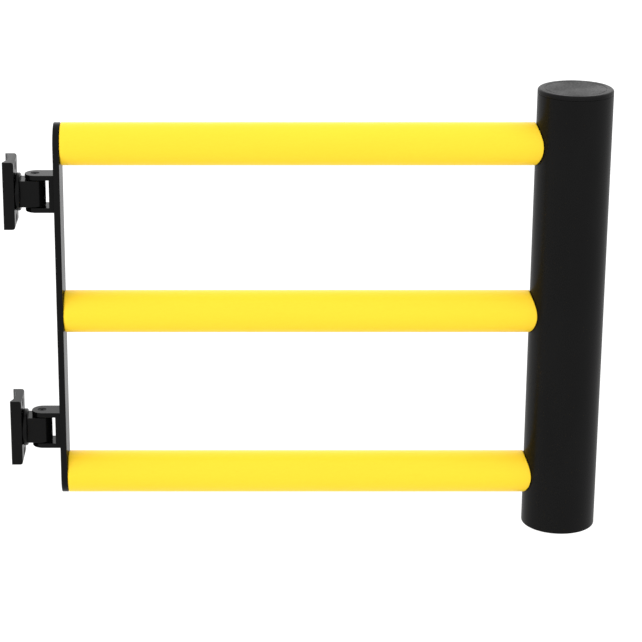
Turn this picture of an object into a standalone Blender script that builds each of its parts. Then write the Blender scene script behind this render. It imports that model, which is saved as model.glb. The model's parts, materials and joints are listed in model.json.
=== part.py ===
"""Swing safety gate: a three-rail gate leaf with a round end post, hung on two pin hinges.

Each hinge has a saddle plate that seats on a round post, a knuckle bolted to it, and a clevis
on the leaf's hinge plate. Units are metres. The origin is on the lower saddle's seat plane, level
with the lower hinge. +X runs to the end post, +Z is up, and y = 0 is the leaf's middle plane.
"""

import math

import bmesh
import bpy
from mathutils import Matrix

MM = 0.001
GAP = 0.3 * MM  # left between pieces that touch

# Leaf
POST_R = 70 * MM
POST_WALL = 6 * MM
POST_ABOVE = 105 * MM  # from the top rail's axis to the top of the post's cap
POST_BELOW = 103 * MM  # from the bottom rail's axis to the foot of the post
RAIL_R = 40 * MM
RAIL_WALL = 5 * MM
RAIL_PITCH = 326 * MM
PIN_TO_POST = 998 * MM
PIN_TO_PLATE = 36.5 * MM
PLATE_T = 12 * MM

# Hinges
HINGE_PITCH = 469 * MM
LOW_RAIL_DROP = 91.5 * MM  # from the lower hinge down to the bottom rail
SEAT_TO_PIN = 57.5 * MM
SADDLE_T = 21 * MM
SADDLE_HALF_W = 36 * MM
SADDLE_HALF_H = 64.5 * MM
SADDLE_CORNER_R = 5 * MM
CHANNEL_HALF_W = 33 * MM
FLANGE_R = 35.5 * MM
FLANGE_T = 9 * MM
FLANGE_EDGE = 1.2 * MM
HINGE_HALF_W = 21.8 * MM  # of the knuckle and the clevis, and the radius of their round ends
EYE_OFFSET = 2.5 * MM  # from the pin axis back to the centre of a round end
KNUCKLE_HALF_H = 25.2 * MM
BORE_R = 13 * MM
PIN_R = 6 * MM
PIN_HEAD_R = 8 * MM
PIN_HEAD_H = 4.5 * MM
CLEVIS_HALF_H = 35.7 * MM
LUG_T = 9.2 * MM
WEB_T = 9.8 * MM

# Bushes and springs
BUSH_L = 10 * MM
BUSH_FLANGE_R = 17 * MM
SPRING_R = 9.6 * MM
SPRING_WIRE_R = 1.5 * MM
SPRING_HALF_H = 12 * MM
SPRING_TURNS = 6

# Screws
POST_SCREW_R = 4.5 * MM
POST_SCREW_Z = 50 * MM
KNUCKLE_BOLT_R = 5 * MM
KNUCKLE_BOLT_HEAD_R = 8.5 * MM
KNUCKLE_BOLT_HEAD_H = 4.7 * MM
KNUCKLE_BOLT_L = 25 * MM
CLEVIS_SCREW_R = 4 * MM
CLEVIS_SCREW_Z = 15 * MM
CLEVIS_SCREW_L = 18 * MM
RAIL_SCREW_R = 5 * MM
RAIL_SCREW_L = 40 * MM
SOCKET_SIZE = 5 * MM  # across the flats
SOCKET_DEPTH = 2.6 * MM

# Rail ends, locking rod and the post's ends
PLUG_L = 40 * MM
PLUG_FLOOR = 8 * MM
PLUG_WALL = 5 * MM
PLUG_HUB_R = 13 * MM
SPIGOT_WALL = 7 * MM
SPIGOT_IN_RAIL = 110 * MM
SPIGOT_PAST_AXIS = 36 * MM
ROD_R = 8 * MM
CAP_H = 8.5 * MM
CAP_EDGE = 4.5 * MM
CAP_FLOOR = 5 * MM
CAP_PLUG_L = 22 * MM
CAP_PLUG_WALL = 4 * MM
FOOT_INSET = 1 * MM  # from the foot of the post up to its plug

# Facets round a full circle
POST_STEPS = 40
RAIL_STEPS = 32
SMALL_STEPS = 24
SCREW_STEPS = 16
SPRING_STEPS = 10
SPRING_SIDES = 6
ARC_STEPS = 14  # along an arc that ends a plate or a bracket
CAP_EDGE_STEPS = 3
CORNER_STEPS = 3

WELD = 1e-6
SMOOTH_ANGLE = math.radians(32)

# Worked out from the above
RAIL_Z = [-LOW_RAIL_DROP + i * RAIL_PITCH for i in range(3)]
RAIL_NAMES = ("bottom", "middle", "top")
HINGE_Z = {"lower": 0.0, "upper": HINGE_PITCH}
POST_LOW = RAIL_Z[0] - POST_BELOW
POST_HIGH = RAIL_Z[2] + POST_ABOVE
RAIL_X = PIN_TO_PLATE + PLATE_T + GAP
RAIL_BORE_R = RAIL_R - RAIL_WALL
WEB_X = PIN_TO_PLATE - GAP - WEB_T
CHANNEL_DEPTH = POST_R - math.sqrt(POST_R**2 - CHANNEL_HALF_W**2)
CHANNEL_FLOOR_X = CHANNEL_DEPTH - SEAT_TO_PIN
LUG_INNER_Z = CLEVIS_HALF_H - LUG_T
BUSH_FLANGE_T = LUG_INNER_Z - KNUCKLE_HALF_H - 2 * GAP

# Turns of a mesh made about Z
TO_PLUS_X = Matrix.Rotation(math.radians(90), 4, "Y")
TO_MINUS_X = Matrix.Rotation(math.radians(-90), 4, "Y")
FLIP = Matrix.Rotation(math.radians(180), 4, "X")
STAND_UP = Matrix(((0, 0, 1, 0), (1, 0, 0, 0), (0, 1, 0, 0), (0, 0, 0, 1)))  # X,Y,Z to Y,Z,X


# ---- mesh tools ----


def finished(bm):
    """A smooth-shaded mesh with its normals pointing out."""
    bmesh.ops.recalc_face_normals(bm, faces=bm.faces)
    mesh = bpy.data.meshes.new("shape")
    bm.to_mesh(mesh)
    bm.free()
    mesh.shade_smooth()
    mesh.set_sharp_from_angle(angle=SMOOTH_ANGLE)
    return mesh


def arc(centre, radius, start, end, steps):
    """Points along an arc between two angles in degrees, with both ends."""
    turns = [math.radians(start + (end - start) * i / steps) for i in range(steps + 1)]
    return [(centre[0] + radius * math.cos(a), centre[1] + radius * math.sin(a)) for a in turns]


def extruded(outline, low, high):
    """A closed XY outline raised from z = low to z = high."""
    bm = bmesh.new()
    face = bm.faces.new([bm.verts.new((x, y, low)) for x, y in outline])
    top = bmesh.ops.extrude_face_region(bm, geom=[face])["geom"]
    points = [item for item in top if isinstance(item, bmesh.types.BMVert)]
    bmesh.ops.translate(bm, verts=points, vec=(0, 0, high - low))
    return finished(bm)


def turned(section, steps):
    """A closed section of (radius, height) points spun about Z."""
    bm = bmesh.new()
    points = [bm.verts.new((radius, 0, height)) for radius, height in section]
    sides = zip(points, points[1:] + points[:1])
    edges = [bm.edges.new(pair) for pair in sides if pair[0].co.x or pair[1].co.x]
    bmesh.ops.spin(
        bm, geom=points + edges, cent=(0, 0, 0), axis=(0, 0, 1), angle=2 * math.pi, steps=steps
    )
    bmesh.ops.remove_doubles(bm, verts=bm.verts, dist=WELD)
    return finished(bm)


def cylinder(radius, low, high, steps):
    return turned([(0, low), (radius, low), (radius, high), (0, high)], steps)


def tube(outer, inner, low, high, steps):
    return turned([(outer, low), (outer, high), (inner, high), (inner, low)], steps)


def moved(mesh, matrix=None, x=0.0, y=0.0, z=0.0):
    """The mesh turned by the matrix and then shifted."""
    mesh.transform(Matrix.Translation((x, y, z)) @ (matrix or Matrix.Identity(4)))
    return mesh


def boolean(mesh, tools, operation):
    """The mesh after an exact Boolean with each of the tools."""
    body = bpy.data.objects.new("body", mesh)
    helpers = [bpy.data.objects.new("tool", tool) for tool in tools]
    for item in (body, *helpers):
        bpy.context.scene.collection.objects.link(item)
    for helper in helpers:
        modifier = body.modifiers.new("shape", "BOOLEAN")
        modifier.operation = operation
        modifier.solver = "EXACT"
        modifier.object = helper
    graph = bpy.context.evaluated_depsgraph_get()
    result = bpy.data.meshes.new_from_object(body.evaluated_get(graph), depsgraph=graph)
    for item in (body, *helpers):
        bpy.data.objects.remove(item)
    result.shade_smooth()
    result.set_sharp_from_angle(angle=SMOOTH_ANGLE)
    return result


def cut(mesh, *tools):
    return boolean(mesh, tools, "DIFFERENCE")


def rounded(mesh, chosen, radius, steps):
    """The mesh with its chosen edges rounded, where chosen tests an edge's two ends."""
    bm = bmesh.new()
    bm.from_mesh(mesh)
    edges = [edge for edge in bm.edges if chosen(edge.verts[0].co, edge.verts[1].co)]
    bmesh.ops.bevel(
        bm, geom=edges, offset=radius, segments=steps, profile=0.5, affect="EDGES", clamp_overlap=True
    )
    return finished(bm)


# ---- screws and the holes that they sit in; each points down, with its head's top at z = 0 ----


def hex_socket():
    outline = arc((0, 0), SOCKET_SIZE / math.sqrt(3), 0, 300, 5)
    return extruded(outline, -SOCKET_DEPTH, SOCKET_SIZE)


def countersunk_hole(radius, depth):
    head_r = 2 * radius
    above = 2 * SOCKET_SIZE
    section = [(0, above), (head_r, above), (head_r, 0), (radius, -radius), (radius, -depth), (0, -depth)]
    return turned(section, SCREW_STEPS)


def countersunk_screw(radius, length):
    """A 90 degree flat head screw that fits the hole of the same radius with a gap all round."""
    shank_r = radius - GAP
    head_r = 2 * radius - GAP
    section = [(0, -GAP), (head_r - GAP, -GAP), (shank_r, -radius), (shank_r, -length), (0, -length)]
    return cut(turned(section, SCREW_STEPS), moved(hex_socket(), z=-GAP))


def socket_screw(radius, head_r, head_h, length):
    section = [(0, 0), (head_r, 0), (head_r, -head_h), (radius, -head_h), (radius, -length), (0, -length)]
    return cut(turned(section, SMALL_STEPS), hex_socket())


# ---- hinge pieces, about the pin axis and the hinge's mid height ----


def saddle_plate():
    """The plate behind a hinge, hollowed to the post's radius between two flat lands."""
    seat, face = -SEAT_TO_PIN, SADDLE_T - SEAT_TO_PIN
    half_angle = math.degrees(math.asin(CHANNEL_HALF_W / POST_R))
    channel = arc((CHANNEL_FLOOR_X - POST_R, 0), POST_R, half_angle, -half_angle, ARC_STEPS)
    corners = [(seat, -SADDLE_HALF_W), (face, -SADDLE_HALF_W), (face, SADDLE_HALF_W), (seat, SADDLE_HALF_W)]
    plate = extruded(corners + channel, -SADDLE_HALF_H, SADDLE_HALF_H)

    def on_face_end(a, b):
        return min(a.x, b.x) > face - WELD and abs(a.z - b.z) < WELD

    plate = rounded(plate, on_face_end, SADDLE_CORNER_R, CORNER_STEPS)
    tools = [moved(knuckle_bolt_hole(), TO_MINUS_X, x=CHANNEL_FLOOR_X)]
    for z in (-POST_SCREW_Z, POST_SCREW_Z):
        tools.append(moved(countersunk_hole(POST_SCREW_R, SADDLE_T), TO_PLUS_X, x=face, z=z))
    return cut(plate, *tools)


def knuckle_bolt_hole():
    """The counterbored hole for the bolt that holds a knuckle to its saddle plate."""
    head_r, head_h = KNUCKLE_BOLT_HEAD_R + GAP, KNUCKLE_BOLT_HEAD_H + 2 * GAP
    radius, depth = KNUCKLE_BOLT_R + GAP, KNUCKLE_BOLT_L + 3 * GAP
    section = [(0, CHANNEL_DEPTH), (head_r, CHANNEL_DEPTH), (head_r, -head_h), (radius, -head_h)]
    return turned(section + [(radius, -depth), (0, -depth)], SMALL_STEPS)


def knuckle_bolt():
    return socket_screw(KNUCKLE_BOLT_R, KNUCKLE_BOLT_HEAD_R, KNUCKLE_BOLT_HEAD_H, KNUCKLE_BOLT_L)


def knuckle():
    """A round flange with a D-shaped block on it that carries the hinge bushes."""
    flange_x = SADDLE_T - SEAT_TO_PIN + GAP
    section = [(0, 0), (FLANGE_R, 0), (FLANGE_R, FLANGE_T - FLANGE_EDGE), (FLANGE_R - FLANGE_EDGE, FLANGE_T)]
    section += [(0, FLANGE_T)]
    flange = moved(turned(section, RAIL_STEPS), TO_PLUS_X, x=flange_x)
    root_x = flange_x + FLANGE_T / 2
    outline = arc((-EYE_OFFSET, 0), HINGE_HALF_W, -90, 90, ARC_STEPS)
    outline += [(root_x, HINGE_HALF_W), (root_x, -HINGE_HALF_W)]
    block = extruded(outline, -KNUCKLE_HALF_H, KNUCKLE_HALF_H)
    bore = cylinder(BORE_R, -2 * KNUCKLE_HALF_H, 2 * KNUCKLE_HALF_H, SMALL_STEPS)
    bolt_hole = moved(knuckle_bolt_hole(), TO_MINUS_X, x=CHANNEL_FLOOR_X)
    return cut(boolean(block, [flange], "UNION"), bore, bolt_hole)


def bush():
    """A flanged bush, its flange on top of the knuckle."""
    inner, outer = PIN_R + GAP, BORE_R - GAP
    low = KNUCKLE_HALF_H - BUSH_L
    shoulder = KNUCKLE_HALF_H + GAP
    top = shoulder + BUSH_FLANGE_T
    section = [(inner, low), (outer, low), (outer, shoulder), (BUSH_FLANGE_R, shoulder)]
    return turned(section + [(BUSH_FLANGE_R, top), (inner, top)], SMALL_STEPS)


def spring(hand):
    """A torsion spring's coil, wound right-handed for hand = 1 and left-handed for hand = -1."""
    bm = bmesh.new()
    count = SPRING_TURNS * SPRING_STEPS
    rings = []
    for i in range(count + 1):
        turn = 2 * math.pi * i / SPRING_STEPS
        height = SPRING_HALF_H * (2 * i / count - 1)
        ring = []
        for x, z in arc((SPRING_R, height), SPRING_WIRE_R, 0, 360 - 360 / SPRING_SIDES, SPRING_SIDES - 1):
            ring.append(bm.verts.new((x * math.cos(turn), hand * x * math.sin(turn), z)))
        rings.append(ring)
    for first, second in zip(rings, rings[1:]):
        for i in range(SPRING_SIDES):
            j = (i + 1) % SPRING_SIDES
            bm.faces.new((first[i], first[j], second[j], second[i]))
    bm.faces.new(rings[0])
    bm.faces.new(rings[-1])
    return finished(bm)


def clevis():
    """A U-shaped bracket: a web on the hinge plate and two lugs with round ends about the pin."""
    back = WEB_X + WEB_T
    outline = arc((EYE_OFFSET, 0), HINGE_HALF_W, 90, 270, ARC_STEPS)
    outline += [(back, -HINGE_HALF_W), (back, HINGE_HALF_W)]
    block = extruded(outline, -CLEVIS_HALF_H, CLEVIS_HALF_H)
    side = 2 * HINGE_HALF_W
    mouth = [(-side, -side), (WEB_X, -side), (WEB_X, side), (-side, side)]
    tools = [
        extruded(mouth, -LUG_INNER_Z, LUG_INNER_Z),
        cylinder(PIN_R + GAP, -2 * CLEVIS_HALF_H, 2 * CLEVIS_HALF_H, SMALL_STEPS),
        cylinder(PIN_HEAD_R + GAP, pin_top() - PIN_HEAD_H - GAP, 2 * CLEVIS_HALF_H, SMALL_STEPS),
    ]
    return cut(block, *tools, *clevis_screw_holes())


def clevis_screw_holes():
    length = CLEVIS_SCREW_L + GAP
    return [
        moved(countersunk_hole(CLEVIS_SCREW_R, length), TO_MINUS_X, x=WEB_X, z=z)
        for z in (-CLEVIS_SCREW_Z, CLEVIS_SCREW_Z)
    ]


def pin_top():
    """Height of the pin head's top face, just below the lug's."""
    return CLEVIS_HALF_H - 2 * GAP


def hinge_pin():
    length = pin_top() + CLEVIS_HALF_H - GAP
    return socket_screw(PIN_R, PIN_HEAD_R, PIN_HEAD_H, length)


# ---- leaf pieces, about the pin axis and the lower hinge's mid height ----


def hinge_plate():
    """An upright flat bar, its round ends centred on the outer rails."""
    outline = arc((0, RAIL_Z[2]), RAIL_R, 0, 180, ARC_STEPS)
    outline += arc((0, RAIL_Z[0]), RAIL_R, 180, 360, ARC_STEPS)
    plate = moved(extruded(outline, PIN_TO_PLATE, PIN_TO_PLATE + PLATE_T), STAND_UP)
    tools = [moved(rail_screw_hole(), TO_MINUS_X, x=PIN_TO_PLATE, z=z) for z in RAIL_Z]
    for z in HINGE_Z.values():
        tools += [moved(hole, z=z) for hole in clevis_screw_holes()]
    return cut(plate, *tools)


def rail_screw_hole():
    return countersunk_hole(RAIL_SCREW_R, RAIL_SCREW_L + 2 * GAP)


def rail_plug():
    """A cup with a hub, in the hinge end of a rail, that the rail's screw threads into."""
    outer, hub = RAIL_BORE_R - GAP, PLUG_HUB_R
    section = [(RAIL_SCREW_R, 0), (outer, 0), (outer, PLUG_L), (outer - PLUG_WALL, PLUG_L)]
    section += [(outer - PLUG_WALL, PLUG_FLOOR), (hub, PLUG_FLOOR), (hub, PLUG_L), (RAIL_SCREW_R, PLUG_L)]
    return turned(section, SMALL_STEPS)


def rail():
    """A round tube, square at the hinge plate and coped to the end post's surface."""
    body = tube(RAIL_R, RAIL_BORE_R, RAIL_X, PIN_TO_POST, RAIL_STEPS)
    post = cylinder(POST_R + GAP, -POST_R, POST_R, POST_STEPS)
    return cut(moved(body, TO_PLUS_X), moved(post, x=PIN_TO_POST))


def spigot():
    """A sleeve that joins a rail to the post: half in the rail, half through the post's wall."""
    outer = RAIL_BORE_R - GAP
    start = PIN_TO_POST - POST_R - SPIGOT_IN_RAIL
    body = tube(outer, outer - SPIGOT_WALL, start, PIN_TO_POST + SPIGOT_PAST_AXIS, RAIL_STEPS)
    rod_hole = cylinder(ROD_R + GAP, -POST_R, POST_R, SMALL_STEPS)
    return cut(moved(body, TO_PLUS_X), moved(rod_hole, x=PIN_TO_POST))


def end_post():
    """The post's tube, under its cap, with a hole for each rail's spigot."""
    body = tube(POST_R, POST_R - POST_WALL, POST_LOW, POST_HIGH - CAP_H - GAP, POST_STEPS)
    holes = [
        moved(cylinder(RAIL_BORE_R, -2 * POST_R, 0, RAIL_STEPS), TO_PLUS_X, z=z) for z in RAIL_Z
    ]
    return cut(body, *holes)


def cup_end(depth):
    """The section of a cup that fits inside the post: its outer wall down to depth, then back up inside."""
    outer = POST_R - POST_WALL - GAP
    inner = outer - CAP_PLUG_WALL
    return [(outer, -depth), (inner, -depth), (inner, -CAP_FLOOR), (0, -CAP_FLOOR)]


def post_cap():
    """The cap on top of the post, its top face at z = 0, with a hollow plug that fits inside the tube."""
    edge = arc((POST_R - CAP_EDGE, -CAP_EDGE), CAP_EDGE, 90, 0, CAP_EDGE_STEPS)
    seat = [(POST_R, -CAP_H), (POST_R - POST_WALL - GAP, -CAP_H)]
    return turned([(0, 0)] + edge + seat + cup_end(CAP_H + CAP_PLUG_L), POST_STEPS)


def post_foot_plug():
    """The plug in the foot of the post, its outer face at z = 0."""
    return turned([(0, 0), (POST_R - POST_WALL - GAP, 0)] + cup_end(CAP_PLUG_L), POST_STEPS)


def locking_rod():
    """The rod down the middle of the end post, through every spigot."""
    inset = CAP_FLOOR + GAP
    return cylinder(ROD_R, POST_LOW + FOOT_INSET + inset, POST_HIGH - inset, SMALL_STEPS)


# ---- materials and assembly ----


def material(name, colour, roughness, metallic):
    item = bpy.data.materials.new(name)
    item.use_nodes = True
    shader = item.node_tree.nodes["Principled BSDF"]
    shader.inputs["Base Color"].default_value = (*colour, 1)
    shader.inputs["Roughness"].default_value = roughness
    shader.inputs["Metallic"].default_value = metallic
    return item


def empty(name, x):
    item = bpy.data.objects.new(name, None)
    item.location = (x, 0, 0)
    bpy.context.scene.collection.objects.link(item)
    return item


def add(name, mesh, parent, finish, x=0.0, z=0.0, turn=None):
    """One named piece, placed in its parent's space. Pieces that repeat share their mesh."""
    if not mesh.materials:
        mesh.materials.append(finish)
    item = bpy.data.objects.new(name, mesh)
    item.parent = parent
    item.location = (x, 0, z)
    if turn:
        item.rotation_euler = turn.to_euler()
    bpy.context.scene.collection.objects.link(item)


def build_brackets(parent, black, steel, plastic):
    shapes = {"saddle": saddle_plate(), "knuckle": knuckle(), "bolt": knuckle_bolt(), "bush": bush()}
    hands = {"lower": -1, "upper": 1}
    for level, z in HINGE_Z.items():
        add(f"{level}_saddle_plate", shapes["saddle"], parent, black, z=z)
        add(f"{level}_knuckle", shapes["knuckle"], parent, black, z=z)
        bolt_x = CHANNEL_FLOOR_X + GAP
        add(f"{level}_knuckle_bolt", shapes["bolt"], parent, steel, x=bolt_x, z=z, turn=TO_MINUS_X)
        add(f"{level}_top_bush", shapes["bush"], parent, plastic, z=z)
        add(f"{level}_bottom_bush", shapes["bush"], parent, plastic, z=z, turn=FLIP)
        add(f"{level}_spring", spring(hands[level]), parent, steel, z=z)


def build_hinge_side(leaf, black, steel):
    bracket, pin = clevis(), hinge_pin()
    screw = countersunk_screw(CLEVIS_SCREW_R, CLEVIS_SCREW_L)
    add("hinge_plate", hinge_plate(), leaf, black)
    for level, z in HINGE_Z.items():
        add(f"{level}_clevis", bracket, leaf, black, z=z)
        add(f"{level}_hinge_pin", pin, leaf, steel, z=z + pin_top())
        for place, offset in (("bottom", -CLEVIS_SCREW_Z), ("top", CLEVIS_SCREW_Z)):
            name = f"{level}_clevis_{place}_screw"
            add(name, screw, leaf, steel, x=WEB_X, z=z + offset, turn=TO_MINUS_X)


def build_rails(leaf, yellow, steel, plastic):
    shapes = {"rail": rail(), "plug": rail_plug(), "spigot": spigot()}
    screw = countersunk_screw(RAIL_SCREW_R, RAIL_SCREW_L)
    for place, z in zip(RAIL_NAMES, RAIL_Z):
        add(f"{place}_rail", shapes["rail"], leaf, yellow, z=z)
        add(f"{place}_rail_plug", shapes["plug"], leaf, plastic, x=RAIL_X, z=z, turn=TO_PLUS_X)
        add(f"{place}_rail_screw", screw, leaf, steel, x=PIN_TO_PLATE, z=z, turn=TO_MINUS_X)
        add(f"{place}_rail_spigot", shapes["spigot"], leaf, plastic, z=z)


def build_post(leaf, black, steel):
    add("end_post", end_post(), leaf, black, x=PIN_TO_POST)
    add("post_top_cap", post_cap(), leaf, black, x=PIN_TO_POST, z=POST_HIGH)
    foot_z = POST_LOW + FOOT_INSET
    add("post_foot_plug", post_foot_plug(), leaf, black, x=PIN_TO_POST, z=foot_z, turn=FLIP)
    add("rail_locking_rod", locking_rod(), leaf, steel, x=PIN_TO_POST)


def main():
    for item in list(bpy.data.objects):
        bpy.data.objects.remove(item)
    black_metal = material("black_metal", (0.012, 0.012, 0.013), 0.45, 0.0)
    black_polymer = material("black_polymer", (0.013, 0.013, 0.014), 0.4, 0.0)
    yellow_polymer = material("yellow_polymer", (0.9, 0.6, 0.03), 0.35, 0.0)
    steel = material("steel", (0.35, 0.35, 0.36), 0.35, 1.0)
    dark_plastic = material("dark_plastic", (0.05, 0.05, 0.055), 0.5, 0.0)

    brackets = empty("bracket_frame", SEAT_TO_PIN)
    leaf = empty("leaf_swing_axis", SEAT_TO_PIN)
    build_brackets(brackets, black_metal, steel, dark_plastic)
    build_hinge_side(leaf, black_metal, steel)
    build_rails(leaf, yellow_polymer, steel, dark_plastic)
    build_post(leaf, black_polymer, steel)


main()
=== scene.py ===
"""Looks of the swing safety gate: fine meshes, finishes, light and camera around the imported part.

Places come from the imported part's boxes. Units are metres, in the part's own frame: +X runs to the
end post, +Z is up, and y = 0 is the leaf's middle plane.
"""

import json
import math

import bmesh
import bpy
from mathutils import Matrix, Vector

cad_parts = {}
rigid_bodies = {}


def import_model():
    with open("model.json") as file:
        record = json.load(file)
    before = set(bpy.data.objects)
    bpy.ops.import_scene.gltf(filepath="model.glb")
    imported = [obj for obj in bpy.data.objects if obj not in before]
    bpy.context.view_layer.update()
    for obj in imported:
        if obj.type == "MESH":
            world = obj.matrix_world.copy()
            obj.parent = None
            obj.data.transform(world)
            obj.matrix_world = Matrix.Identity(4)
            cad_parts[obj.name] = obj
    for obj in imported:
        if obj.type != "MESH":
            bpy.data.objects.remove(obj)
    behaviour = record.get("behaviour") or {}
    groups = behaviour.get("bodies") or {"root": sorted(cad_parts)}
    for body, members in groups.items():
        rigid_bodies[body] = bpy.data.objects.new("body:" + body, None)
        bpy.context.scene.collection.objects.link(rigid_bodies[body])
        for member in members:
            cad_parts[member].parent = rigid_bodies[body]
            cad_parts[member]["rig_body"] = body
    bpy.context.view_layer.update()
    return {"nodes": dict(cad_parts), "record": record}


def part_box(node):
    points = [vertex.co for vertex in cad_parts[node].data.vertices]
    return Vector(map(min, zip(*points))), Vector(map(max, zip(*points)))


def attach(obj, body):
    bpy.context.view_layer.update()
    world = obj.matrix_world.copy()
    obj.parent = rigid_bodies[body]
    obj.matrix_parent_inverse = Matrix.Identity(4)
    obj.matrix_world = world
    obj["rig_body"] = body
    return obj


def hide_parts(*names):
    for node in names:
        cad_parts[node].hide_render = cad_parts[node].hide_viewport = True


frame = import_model()

MM = 0.001
GAP = 0.3 * MM  # between pieces that touch

# Sizes inside the pieces, which their boxes don't give
POST_WALL = 6 * MM
RAIL_WALL = 5 * MM
CHANNEL_HALF_W = 33 * MM  # of the saddle plate's hollow, at the seat plane
SADDLE_CORNER_R = 5 * MM
EYE_OFFSET = 2.5 * MM  # from the pin axis back to the centre of a round end
KNUCKLE_HALF_H = 25.2 * MM
FLANGE_T = 9 * MM
LUG_T = 9.2 * MM
BORE_R = 13 * MM
BUSH_FLANGE_T = 0.7 * MM
PIN_R = 6 * MM
PIN_HEAD_H = 4.5 * MM
CAP_H = 8.5 * MM
CAP_FLOOR = 5 * MM
CAP_PLUG_L = 22 * MM
CAP_PLUG_WALL = 4 * MM

# Screws
POST_SCREW_R = 4.5 * MM
POST_SCREW_Z = 50 * MM
CLEVIS_SCREW_R = 4 * MM
RAIL_SCREW_R = 5 * MM
KNUCKLE_BOLT_R = 5 * MM
KNUCKLE_BOLT_HEAD_H = 4.7 * MM
SOCKET_SIZE = 5 * MM  # across the flats
SOCKET_DEPTH = 2.6 * MM
SOCKET_EDGE = 0.05 * MM

# Edge roundings
CAP_EDGE = 4.5 * MM
POST_FOOT_EDGE = 2 * MM
RAIL_EDGE = 3 * MM
FLANGE_EDGE = 2.6 * MM
KNUCKLE_EDGE = 1.5 * MM
PLATE_EDGE = 1 * MM
HINGE_EDGE = 0.9 * MM
SCREW_EDGE = 0.5 * MM
THIN_EDGE = 0.2 * MM

# The shallow ring on top of the post's cap
RING_R = 56 * MM
RING_W = 0.9 * MM
RING_DEPTH = 0.5 * MM

# Facets round a full circle, along an eye's half circle and round an edge
POST_STEPS = 160
RAIL_STEPS = 112
SMALL_STEPS = 56
EYE_STEPS = 48
EDGE_STEPS = 5
RAIL_EDGE_STEPS = 7

SMOOTH_ANGLE = math.radians(34)
WELD = 1e-6
REACH = 1.0  # how far a cutter runs past the piece that it cuts

LEVELS = ("lower", "upper")
RAIL_NAMES = ("bottom", "middle", "top")
NODE_SLOTS = {row["node"]: row["material_slot"] for row in frame["record"]["subparts"]}

# Turns of a mesh made about Z
TO_PLUS_X = Matrix.Rotation(math.radians(90), 4, "Y")
TO_MINUS_X = Matrix.Rotation(math.radians(-90), 4, "Y")
FLIP = Matrix.Rotation(math.radians(180), 4, "X")
LAY_DOWN = Matrix.Rotation(math.radians(90), 4, "X")  # X,Y,Z to X,-Z,Y
STAND_UP = Matrix(((0, 0, 1, 0), (1, 0, 0, 0), (0, 1, 0, 0), (0, 0, 0, 1)))  # X,Y,Z to Y,Z,X


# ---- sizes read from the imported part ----


def middle(name):
    """The middle of a node's box."""
    low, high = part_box(name)
    return (low + high) / 2


def half_size(name):
    """Half the size of a node's box along each axis."""
    low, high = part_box(name)
    return (high - low) / 2


# ---- mesh tools ----


def finished(bm):
    """A mesh of the faces in bm, with its normals pointing out."""
    bmesh.ops.remove_doubles(bm, verts=bm.verts, dist=WELD)
    bmesh.ops.recalc_face_normals(bm, faces=bm.faces)
    mesh = bpy.data.meshes.new("shape")
    bm.to_mesh(mesh)
    bm.free()
    return mesh


def bridge(bm, first, second):
    """Faces between two rings of vertices. A ring that is one point gets triangles."""
    for i, j in zip(range(-1, len(first)), range(len(first))):
        corners = list(dict.fromkeys((first[i], first[j], second[j], second[i])))
        if len(corners) > 2:
            bm.faces.new(corners)


def arc(centre, radius, start, end, steps):
    """Points along an arc between two angles in degrees, with both ends."""
    turns = [math.radians(start + (end - start) * i / steps) for i in range(steps + 1)]
    return [(centre[0] + radius * math.cos(a), centre[1] + radius * math.sin(a)) for a in turns]


def quarter_bends(steps):
    """The sine and cosine of each turn along a quarter circle."""
    turns = [math.pi / 2 * k / steps for k in range(steps + 1)]
    return [(math.sin(a), math.cos(a)) for a in turns]


def rounded(corners):
    """A closed outline in which each (x, y, radius) corner is rounded and each (x, y) one stays sharp."""
    outline = []
    for i, (x, y, *radius) in enumerate(corners):
        here = Vector((x, y))
        if not radius:
            outline.append(here)
            continue
        back = (Vector(corners[i - 1][:2]) - here).normalized()
        ahead = (Vector(corners[(i + 1) % len(corners)][:2]) - here).normalized()
        half = back.angle(ahead) / 2
        centre = here + (back + ahead).normalized() * radius[0] / math.sin(half)
        first = here + back * radius[0] / math.tan(half) - centre
        last = here + ahead * radius[0] / math.tan(half) - centre
        for k in range(EDGE_STEPS + 1):
            outline.append(centre + first.slerp(last, k / EDGE_STEPS).normalized() * radius[0])
    return [tuple(point) for point in outline]


def lathe(corners, steps=SMALL_STEPS):
    """A closed section of (radius, height) or (radius, height, corner radius) corners turned about Z."""
    bm = bmesh.new()
    turns = [2 * math.pi * i / steps for i in range(steps)]
    rings = []
    for radius, height in rounded(corners):
        if radius < WELD:
            rings.append([bm.verts.new((0, 0, height))] * steps)
        else:
            spots = [(radius * math.cos(a), radius * math.sin(a), height) for a in turns]
            rings.append([bm.verts.new(spot) for spot in spots])
    for first, second in zip(rings, rings[1:] + rings[:1]):
        bridge(bm, first, second)
    return finished(bm)


def slab(outline, low, high, edge, steps=EDGE_STEPS):
    """A closed XY outline, anticlockwise, raised from z = low to z = high with rounded rims."""
    inward = []
    for i, point in enumerate(outline):
        back = Vector(point) - Vector(outline[i - 1])
        ahead = Vector(outline[(i + 1) % len(outline)]) - Vector(point)
        one, two = back.normalized().orthogonal(), ahead.normalized().orthogonal()
        inward.append((one + two) / (1 + one.dot(two)))
    rims = [(edge * (1 - sine), low + edge * (1 - cosine)) for sine, cosine in quarter_bends(steps)]
    rims += [(inset, high + low - z) for inset, z in reversed(rims)]
    bm = bmesh.new()
    rings = []
    for inset, z in rims:
        points = [Vector(point) + side * inset for point, side in zip(outline, inward)]
        rings.append([bm.verts.new((*point, z)) for point in points])
    for first, second in zip(rings, rings[1:]):
        bridge(bm, first, second)
    bm.faces.new(rings[0])
    bm.faces.new(rings[-1])
    return finished(bm)


def moved(mesh, turn=None, at=(0, 0, 0)):
    """The mesh turned by the matrix and then shifted."""
    mesh.transform(Matrix.Translation(at) @ (turn or Matrix.Identity(4)))
    return mesh


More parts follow.
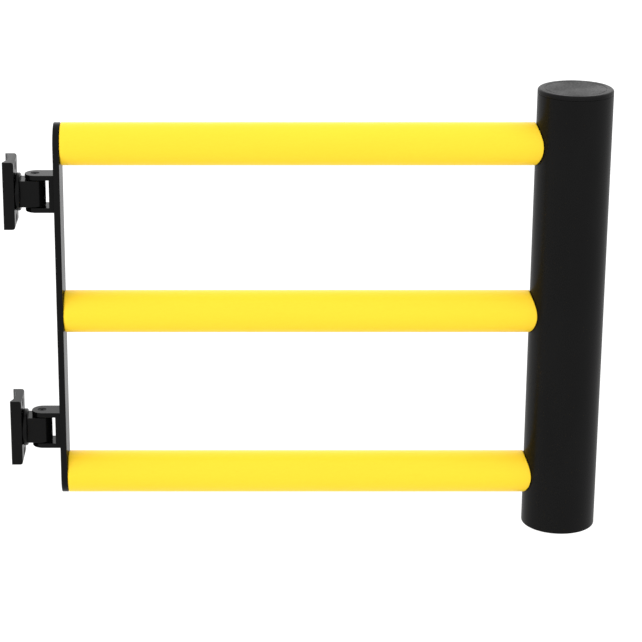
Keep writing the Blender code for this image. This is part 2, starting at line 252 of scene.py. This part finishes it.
def boolean(mesh, tools, operation):
    """The mesh after an exact Boolean with each of the tools."""
    body = bpy.data.objects.new("body", mesh)
    helpers = [bpy.data.objects.new("tool", tool) for tool in tools]
    for item in (body, *helpers):
        bpy.context.scene.collection.objects.link(item)
    for helper in helpers:
        modifier = body.modifiers.new("shape", "BOOLEAN")
        modifier.operation = operation
        modifier.solver = "EXACT"
        modifier.object = helper
    graph = bpy.context.evaluated_depsgraph_get()
    result = bpy.data.meshes.new_from_object(body.evaluated_get(graph), depsgraph=graph)
    for item in (body, *helpers):
        bpy.data.objects.remove(item)
    return result


def cut(mesh, *tools):
    """The mesh less the tools."""
    return boolean(mesh, tools, "DIFFERENCE")


def joined(mesh, *others):
    """The mesh and the others as one closed body."""
    return boolean(mesh, others, "UNION")


# ---- finishes ----

COAT_IOR = 1.3  # of the thin glossy skin over black paint and black plastic
GRAIN_SHARE = 0.4  # of the fine grain in the colour, where the rest is the slow drift
SPREAD = (0.32, 0.68)  # the part of the noise's range that the colours and the roughness run over
RELIEF = 0.2 * MM  # height of the grain at full strength
DRIFT_DETAIL = 4.0
GRAIN_DETAIL = 3.0


def shader_node(tree, kind, **inputs):
    """A new shader node. An input takes a value, or the socket that feeds it."""
    item = tree.nodes.new(kind)
    for name, value in inputs.items():
        socket = item.inputs[name.replace("_", " ")]
        if isinstance(value, bpy.types.NodeSocket):
            tree.links.new(value, socket)
        else:
            socket.default_value = value
    return item


def surface(name, dark, light, rough, grain, bump, cloud=12.0, streak=(1, 1, 1), **looks):
    """A finish that drifts between two colours and two roughnesses, with a fine grain in relief.

    Grain and cloud are the scales of the fine and the slow noise, streak is how far their cells are
    drawn out along each axis, and looks are inputs of the Principled shader.
    """
    item = bpy.data.materials.new(name)
    item.use_nodes = True
    tree = item.node_tree
    shader = tree.nodes["Principled BSDF"]
    for key, value in looks.items():
        shader.inputs[key.replace("_", " ")].default_value = value

    place = shader_node(tree, "ShaderNodeTexCoord").outputs["Object"]
    squeeze = [1 / value for value in streak]
    space = shader_node(tree, "ShaderNodeMapping", Vector=place, Scale=squeeze).outputs["Vector"]

    def noise(scale, detail):
        texture = shader_node(tree, "ShaderNodeTexNoise", Vector=space, Scale=scale, Detail=detail)
        return texture.outputs["Fac"]

    drift = noise(cloud, DRIFT_DETAIL)
    fine = noise(grain, GRAIN_DETAIL)
    mottle = shader_node(tree, "ShaderNodeMix", Factor=GRAIN_SHARE, A=drift, B=fine).outputs["Result"]

    colours = shader_node(tree, "ShaderNodeValToRGB", Fac=mottle)
    for stop, position, colour in zip(colours.color_ramp.elements, SPREAD, (dark, light)):
        stop.position = position
        stop.color = (*colour, 1)
    gloss = shader_node(tree, "ShaderNodeMapRange", Value=mottle, From_Min=SPREAD[0], From_Max=SPREAD[1],
                        To_Min=rough[0], To_Max=rough[1])
    relief = shader_node(tree, "ShaderNodeBump", Height=fine, Strength=bump, Distance=RELIEF)
    tree.links.new(colours.outputs["Color"], shader.inputs["Base Color"])
    for socket in ("Roughness", "Coat Roughness"):
        tree.links.new(gloss.outputs["Result"], shader.inputs[socket])
    for socket in ("Normal", "Coat Normal"):
        tree.links.new(relief.outputs["Normal"], shader.inputs[socket])
    return item


def coated_black(name, shades, rough, coat, **texture):
    """A black that shines only in its coat."""
    dark, light = [(shade, shade, shade) for shade in shades]
    return surface(name, dark, light, rough, Specular_IOR_Level=0.0, Coat_Weight=coat, Coat_IOR=COAT_IOR,
                   **texture)


FINISHES = {
    "black_metal": coated_black("powder_coat", (0.0014, 0.003), (0.14, 0.22), 0.48, grain=1400.0, bump=0.04),
    "black_polymer": coated_black("extruded_black", (0.0022, 0.004), (0.22, 0.32), 0.42, grain=900.0,
                                  bump=0.04, streak=(1, 1, 3)),
    "yellow_polymer": surface("extruded_yellow", (0.95, 0.62, 0.026), (0.99, 0.67, 0.03), (0.36, 0.46),
                              grain=700.0, bump=0.05, cloud=9.0, streak=(6, 1, 1), Specular_IOR_Level=0.16),
    "black_oxide": surface("black_oxide", (0.008, 0.008, 0.008), (0.02, 0.02, 0.021), (0.55, 0.75),
                           grain=2500.0, bump=0.1, Specular_IOR_Level=0.1),
    "zinc_steel": surface("zinc_plate", (0.42, 0.42, 0.43), (0.6, 0.6, 0.6), (0.28, 0.45),
                          grain=2500.0, bump=0.12, cloud=60.0, Metallic=1.0),
    "inner_polymer": surface("inner_plastic", (0.012, 0.012, 0.013), (0.022, 0.022, 0.023), (0.45, 0.6),
                             grain=1200.0, bump=0.1, Specular_IOR_Level=0.3),
}
CAP_FINISH = coated_black("moulded_cap", (0.001, 0.0045), (0.15, 0.5), 0.48, grain=260.0, bump=0.6)


def piece(name, mesh, finish=None):
    """The fine mesh that stands for the CAD node of that name, in its slot's finish unless given one."""
    mesh.shade_smooth()
    mesh.set_sharp_from_angle(angle=SMOOTH_ANGLE)
    mesh.materials.append(finish or FINISHES[NODE_SLOTS[name]])
    item = bpy.data.objects.new(f"{name}_fine", mesh)
    bpy.context.scene.collection.objects.link(item)
    even = item.modifiers.new("even_shading", "WEIGHTED_NORMAL")
    even.keep_sharp = True
    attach(item, frame["nodes"][name]["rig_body"])
    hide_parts(name)


# ---- screws and cutters; each points down, with its head's top at z = 0 ----


def stepped_hole(head_r, floor_z, radius, depth=REACH):
    """A cutter that is head_r wide above floor_z and radius wide below it."""
    section = [(0, REACH), (head_r, REACH), (head_r, floor_z), (radius, floor_z)]
    return lathe(section + [(radius, -depth), (0, -depth)])


def drill(radius, steps=SMALL_STEPS):
    """A cutter for a round hole that goes right through."""
    return lathe([(0, REACH), (radius, REACH), (radius, -REACH), (0, -REACH)], steps)


def countersunk_hole(radius, depth=REACH):
    """A cutter whose cone narrows from twice the radius at z = 0."""
    head_r = 2 * radius
    section = [(0, head_r), (head_r, head_r), (head_r, 0), (radius, -radius), (radius, -depth), (0, -depth)]
    return lathe(section)


def hex_socket():
    """The cutter for the hexagonal socket in a screw's head."""
    outline = arc((0, 0), SOCKET_SIZE / math.sqrt(3), 0, 300, 5)  # six corners
    return slab(outline, -SOCKET_DEPTH, SOCKET_SIZE, SOCKET_EDGE, 1)


def countersunk_screw(radius, length):
    """A flat screw for a hole of that radius, its head GAP below the surface."""
    shank_r = radius - GAP
    head_r = 2 * shank_r
    section = [(0, -GAP), (head_r, -GAP, THIN_EDGE), (shank_r, -radius)]
    section += [(shank_r, -length, SCREW_EDGE), (0, -length)]
    return cut(lathe(section), moved(hex_socket(), at=(0, 0, -GAP)))


def socket_screw(radius, head_r, head_h, length):
    """A screw or pin with a round head that has a socket in it."""
    section = [(0, 0), (head_r, 0, SCREW_EDGE), (head_r, -head_h), (radius, -head_h)]
    section += [(radius, -length, SCREW_EDGE), (0, -length)]
    return cut(lathe(section), hex_socket())


def flat_screw_place(name):
    """The point on the surface over a flat screw's head, and the screw's reach from there towards +X."""
    low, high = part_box(name)
    return (low.x - GAP, middle(name).y, middle(name).z), high.x - low.x + GAP


def flat_screw_hole(name, radius):
    """The cutter for a flat screw's hole, in the screw's place."""
    at, length = flat_screw_place(name)
    return moved(countersunk_hole(radius, length + GAP), TO_MINUS_X, at)


def build_flat_screw(name, radius):
    at, length = flat_screw_place(name)
    piece(name, moved(countersunk_screw(radius, length), TO_MINUS_X, at))


# ---- hinges; pin is the point on the pin's axis at the hinge's mid height ----


def knuckle_bolt_hole(level):
    """The cutter for the bolt's hole through the saddle plate into the knuckle, in the bolt's place."""
    name = f"{level}_knuckle_bolt"
    low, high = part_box(name)
    floor_z = -KNUCKLE_BOLT_HEAD_H - GAP
    hole = stepped_hole(half_size(name).y + GAP, floor_z, KNUCKLE_BOLT_R + GAP, high.x - low.x + 2 * GAP)
    return moved(hole, TO_MINUS_X, (low.x, middle(name).y, middle(name).z))


def build_saddle_plate(level, pin):
    """The plate behind a hinge, hollowed to the supporting post's radius."""
    name = f"{level}_saddle_plate"
    low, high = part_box(name)
    half = half_size(name)
    corners = [(low.x, low.z, HINGE_EDGE), (high.x, low.z, SADDLE_CORNER_R)]
    corners += [(high.x, high.z, SADDLE_CORNER_R), (low.x, high.z, HINGE_EDGE)]
    plate = moved(slab(rounded(corners), -half.y, half.y, HINGE_EDGE), LAY_DOWN)
    post_r = half_size("end_post").y
    channel_x = low.x - math.sqrt(post_r**2 - CHANNEL_HALF_W**2)
    tools = [moved(drill(post_r, POST_STEPS), at=(channel_x, 0, 0)), knuckle_bolt_hole(level)]
    for z in (pin.z - POST_SCREW_Z, pin.z + POST_SCREW_Z):
        tools.append(moved(countersunk_hole(POST_SCREW_R), TO_PLUS_X, (high.x, 0, z)))
    piece(name, cut(plate, *tools))


def build_knuckle(level, pin):
    """A round flange and a D-shaped block with the hinge's bore in it."""
    name = f"{level}_knuckle"
    low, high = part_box(name)
    flange_r = half_size(name).y
    section = [(0, 0), (flange_r, 0, FLANGE_EDGE), (flange_r, FLANGE_T, FLANGE_EDGE), (0, FLANGE_T)]
    flange = moved(lathe(section, POST_STEPS), TO_PLUS_X, (low.x, 0, pin.z))
    eye_x = pin.x - EYE_OFFSET
    half_w = high.x - eye_x
    back = low.x + FLANGE_T / 2
    outline = arc((eye_x, 0), half_w, -90, 90, EYE_STEPS) + [(back, half_w), (back, -half_w)]
    block = slab(outline, pin.z - KNUCKLE_HALF_H, pin.z + KNUCKLE_HALF_H, KNUCKLE_EDGE)
    bore = moved(drill(BORE_R), at=pin)
    piece(name, cut(joined(block, flange), bore, knuckle_bolt_hole(level)))


def build_clevis(level, pin):
    """A web on the hinge plate and two lugs with round ends about the pin."""
    name = f"{level}_clevis"
    low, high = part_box(name)
    half_w = half_size(name).y
    screws = [f"{level}_clevis_{place}_screw" for place in ("bottom", "top")]
    web_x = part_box(screws[0])[0].x - GAP

    back = [(high.x, -half_w, HINGE_EDGE), (high.x, half_w, HINGE_EDGE)]
    lug = rounded(arc((pin.x + EYE_OFFSET, 0), half_w, 90, 270, EYE_STEPS) + back)
    lower_lug = slab(lug, low.z, low.z + LUG_T, HINGE_EDGE)
    upper_lug = slab(lug, high.z - LUG_T, high.z, HINGE_EDGE)
    web = rounded([(web_x, half_w, HINGE_EDGE), (web_x, -half_w, HINGE_EDGE)] + back)
    web = slab(web, low.z + LUG_T / 2, high.z - LUG_T / 2, HINGE_EDGE)

    pin_name = f"{level}_hinge_pin"
    head_r = half_size(pin_name).x + GAP
    pin_hole = stepped_hole(head_r, -PIN_HEAD_H - GAP, PIN_R + GAP)
    tools = [moved(pin_hole, at=(pin.x, 0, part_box(pin_name)[1].z))]
    tools += [flat_screw_hole(screw, CLEVIS_SCREW_R) for screw in screws]
    piece(name, cut(joined(web, lower_lug, upper_lug), *tools))
    for screw in screws:
        build_flat_screw(screw, CLEVIS_SCREW_R)


def build_bush(name, turn=None):
    """A flanged bush, its flange on top unless it is turned over."""
    half = half_size(name)
    inner, outer = PIN_R + GAP, BORE_R - GAP
    shoulder = half.z - BUSH_FLANGE_T
    section = [(inner, -half.z), (outer, -half.z, SCREW_EDGE), (outer, shoulder), (half.x, shoulder)]
    section += [(half.x, half.z, THIN_EDGE), (inner, half.z, THIN_EDGE)]
    piece(name, moved(lathe(section), turn, middle(name)))


def build_hinge(level):
    """The fine pieces of one hinge."""
    pin_name, bolt_name = f"{level}_hinge_pin", f"{level}_knuckle_bolt"
    pin = middle(pin_name)
    pin.z = middle(f"{level}_clevis").z
    build_saddle_plate(level, pin)
    build_knuckle(level, pin)
    build_clevis(level, pin)
    build_bush(f"{level}_top_bush")
    build_bush(f"{level}_bottom_bush", FLIP)

    low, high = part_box(pin_name)
    screw = socket_screw(PIN_R, half_size(pin_name).x, PIN_HEAD_H, high.z - low.z)
    piece(pin_name, moved(screw, at=(pin.x, pin.y, high.z)))
    low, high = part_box(bolt_name)
    bolt = socket_screw(KNUCKLE_BOLT_R, half_size(bolt_name).y, KNUCKLE_BOLT_HEAD_H, high.x - low.x)
    piece(bolt_name, moved(bolt, TO_MINUS_X, (low.x, pin.y, pin.z)))


# ---- leaf ----


def build_hinge_plate():
    """An upright flat bar with round ends."""
    low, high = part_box("hinge_plate")
    radius = half_size("hinge_plate").y
    outline = arc((0, high.z - radius), radius, 0, 180, EYE_STEPS)
    outline += arc((0, low.z + radius), radius, 180, 360, EYE_STEPS)
    plate = moved(slab(outline, low.x, high.x, PLATE_EDGE), STAND_UP)
    holes = [flat_screw_hole(f"{place}_rail_screw", RAIL_SCREW_R) for place in RAIL_NAMES]
    for level in LEVELS:
        for place in ("bottom", "top"):
            holes.append(flat_screw_hole(f"{level}_clevis_{place}_screw", CLEVIS_SCREW_R))
    piece("hinge_plate", cut(plate, *holes))


def build_rail(name):
    """A tube with rounded ends, square at the hinge plate and coped to the post at the other end."""
    low_x, centre_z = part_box(name)[0].x, middle(name).z
    radius = half_size(name).z
    post_x, post_r = middle("end_post").x, half_size("end_post").y + GAP
    bends = quarter_bends(RAIL_EDGE_STEPS)
    rim = [(radius - RAIL_WALL, 0)]
    rim += [(radius - RAIL_EDGE * (1 - sine), RAIL_EDGE * (1 - cosine)) for sine, cosine in bends]
    turns = [2 * math.pi * i / RAIL_STEPS for i in range(RAIL_STEPS)]
    bm = bmesh.new()
    plate_rings, post_rings = [], []
    for ring_r, inset in rim:
        spots = [(ring_r * math.cos(a), centre_z + ring_r * math.sin(a)) for a in turns]
        plate_rings.append([bm.verts.new((low_x + inset, y, z)) for y, z in spots])
        cope = [post_x - math.sqrt(post_r**2 - y**2) - inset for y, z in spots]
        post_rings.append([bm.verts.new((x, y, z)) for x, (y, z) in zip(cope, spots)])
    rings = plate_rings + post_rings[::-1]
    for first, second in zip(rings, rings[1:] + rings[:1]):
        bridge(bm, first, second)
    piece(name, finished(bm))


def spigot_hole(name, centre):
    """The cutter for a rail's spigot in the post's wall, from the post's axis out towards the rail."""
    radius = half_size(name).z - RAIL_WALL
    hole = lathe([(0, 0), (radius, 0), (radius, REACH), (0, REACH)], RAIL_STEPS)
    return moved(hole, TO_MINUS_X, (centre.x, centre.y, middle(name).z))


def cup_end(outer, depth):
    """The section of a cup that fits inside the post: its outer wall down to depth, then back up inside."""
    inner = outer - CAP_PLUG_WALL
    return [(outer, -depth), (inner, -depth), (inner, -CAP_FLOOR), (0, -CAP_FLOOR)]


def build_post():
    """The end post's tube with the cap on it and the plug in its foot."""
    low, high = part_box("end_post")
    centre, radius = middle("end_post"), half_size("end_post").y
    bore = radius - POST_WALL
    section = [(bore, low.z, SCREW_EDGE), (radius, low.z, POST_FOOT_EDGE), (radius, high.z, SCREW_EDGE)]
    tube = moved(lathe(section + [(bore, high.z)], POST_STEPS), at=(centre.x, centre.y, 0))
    piece("end_post", cut(tube, *[spigot_hole(f"{place}_rail", centre) for place in RAIL_NAMES]))

    plug_r = bore - GAP
    ring = [(RING_R, 0), (RING_R, -RING_DEPTH), (RING_R + RING_W, -RING_DEPTH), (RING_R + RING_W, 0)]
    section = [(0, 0)] + [(r, z, THIN_EDGE) for r, z in ring]
    section += [(radius, 0, CAP_EDGE), (radius, -CAP_H, SCREW_EDGE), (plug_r, -CAP_H)]
    cap = lathe(section + cup_end(plug_r, CAP_H + CAP_PLUG_L), POST_STEPS)
    cap_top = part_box("post_top_cap")[1].z
    piece("post_top_cap", moved(cap, at=(centre.x, centre.y, cap_top)), CAP_FINISH)

    low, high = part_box("post_foot_plug")
    plug = lathe([(0, 0), (plug_r, 0, SCREW_EDGE)] + cup_end(plug_r, high.z - low.z), POST_STEPS)
    piece("post_foot_plug", moved(plug, FLIP, (centre.x, centre.y, low.z)))


def build_leaf():
    """The hinge plate, the rails with their screws, and the end post."""
    build_hinge_plate()
    for place in RAIL_NAMES:
        build_rail(f"{place}_rail")
        build_flat_screw(f"{place}_rail_screw", RAIL_SCREW_R)
    build_post()


def dress_cad_nodes():
    """The inner nodes that no fine piece replaces keep their CAD shape and take their slot's finish."""
    for name, item in frame["nodes"].items():
        if not item.hide_render:
            item.material_slots[0].material = FINISHES[NODE_SLOTS[name]]


# ---- floor, light and camera ----

FLOOR_DROP = 0.5  # from the leaf's foot down to the floor
FLOOR_HALF = 40.0
SURROUND = 1.4  # strength of the white world
BACK_LIGHT_POWER = 90.0
BACK_LIGHT_SIZE = (9.0, 5.0)
BACK_LIGHT_AT = (0.5, 8.0, 3.6)

CAMERA_FROM_FOOT = (-0.5913, -4.3029, 1.8536)
CAMERA_DIP = math.radians(18.558)
LENS = 134.23
SENSOR = 36.0
SHIFT_X = 0.1045
CLIP_END = 200.0


def build_floor(foot):
    """A wide white floor, far enough below the leaf for no shadow to show."""
    bm = bmesh.new()
    sides = [(-1, -1), (1, -1), (1, 1), (-1, 1)]
    bm.faces.new([bm.verts.new((FLOOR_HALF * x, FLOOR_HALF * y, foot.z - FLOOR_DROP)) for x, y in sides])
    mesh = finished(bm)
    mesh.materials.append(surface("studio_floor", (0.8, 0.8, 0.8), (0.82, 0.82, 0.82), (0.8, 0.9),
                                  grain=40.0, bump=0.0, cloud=0.5, Specular_IOR_Level=0.0))
    floor = bpy.data.objects.new("floor", mesh)
    bpy.context.scene.collection.objects.link(floor)


def build_lights():
    """A white surround, and a soft panel high behind the gate that shows in the tops of things."""
    world = bpy.data.worlds.new("studio")
    world.use_nodes = True
    background = world.node_tree.nodes["Background"]
    background.inputs["Color"].default_value = (1, 1, 1, 1)
    background.inputs["Strength"].default_value = SURROUND
    bpy.context.scene.world = world

    panel = bpy.data.lights.new("back_light", "AREA")
    panel.energy = BACK_LIGHT_POWER
    panel.shape = "RECTANGLE"
    panel.size, panel.size_y = BACK_LIGHT_SIZE
    light = bpy.data.objects.new("back_light", panel)
    light.location = BACK_LIGHT_AT
    light.rotation_euler = (-light.location).to_track_quat("-Z", "Y").to_euler()
    light.visible_camera = False
    bpy.context.scene.collection.objects.link(light)


def build_camera(foot):
    """The camera, placed from the foot of the end post's axis."""
    data = bpy.data.cameras.new("camera")
    data.sensor_width = SENSOR
    data.lens = LENS
    data.shift_x = SHIFT_X
    data.clip_end = CLIP_END
    camera = bpy.data.objects.new("camera", data)
    camera.location = foot + Vector(CAMERA_FROM_FOOT)
    camera.rotation_euler = (math.pi / 2 - CAMERA_DIP, 0, 0)
    bpy.context.scene.collection.objects.link(camera)
    bpy.context.scene.camera = camera


def main():
    """The camera, the gate's pieces, the floor and the light."""
    foot = middle("end_post")
    foot.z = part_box("end_post")[0].z
    build_camera(foot)
    for level in LEVELS:
        build_hinge(level)
    build_leaf()
    dress_cad_nodes()
    build_floor(foot)
    build_lights()
    bpy.context.scene.view_settings.view_transform = "Standard"


main()
